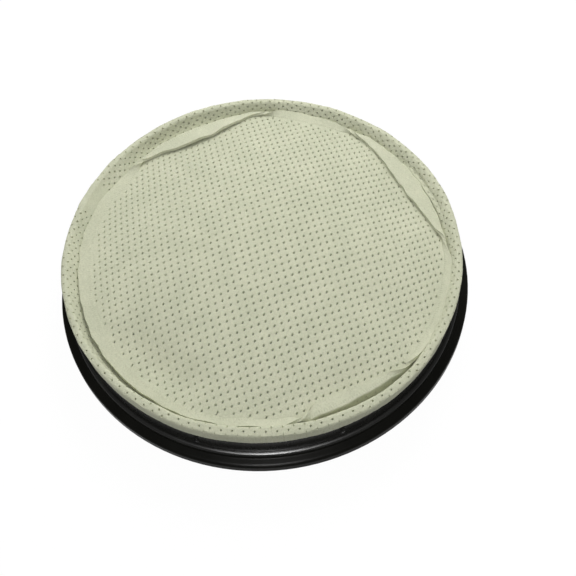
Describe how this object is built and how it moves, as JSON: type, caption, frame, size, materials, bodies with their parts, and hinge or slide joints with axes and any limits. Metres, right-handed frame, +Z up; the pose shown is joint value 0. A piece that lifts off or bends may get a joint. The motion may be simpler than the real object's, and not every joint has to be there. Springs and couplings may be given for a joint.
{
  "type": "vacuum cleaner cloth filter",
  "caption": "Round cloth filter for a tub vacuum cleaner: a perforated felt cup with a folded, welded top disc on a black moulded ring with a grooved clamp collar.",
  "frame": {"origin": "middle of the ring's resting plane, under the underside of the flange", "axes": "+Z up along the ring's axis, from the flange to the felt disc; -Y towards the picture's camera"},
  "size_m": [0.305, 0.305, 0.046],
  "materials": {
    "moulded_plastic": "black moulded plastic, semi-gloss",
    "felt": "pale greenish-cream needle felt, finely perforated"
  },
  "bodies": {
    "root": {"base_ring": "moulded_plastic", "clamp_ring": "moulded_plastic", "side_band": "felt", "filter_disc": "felt"}
  },
  "joints": []
}
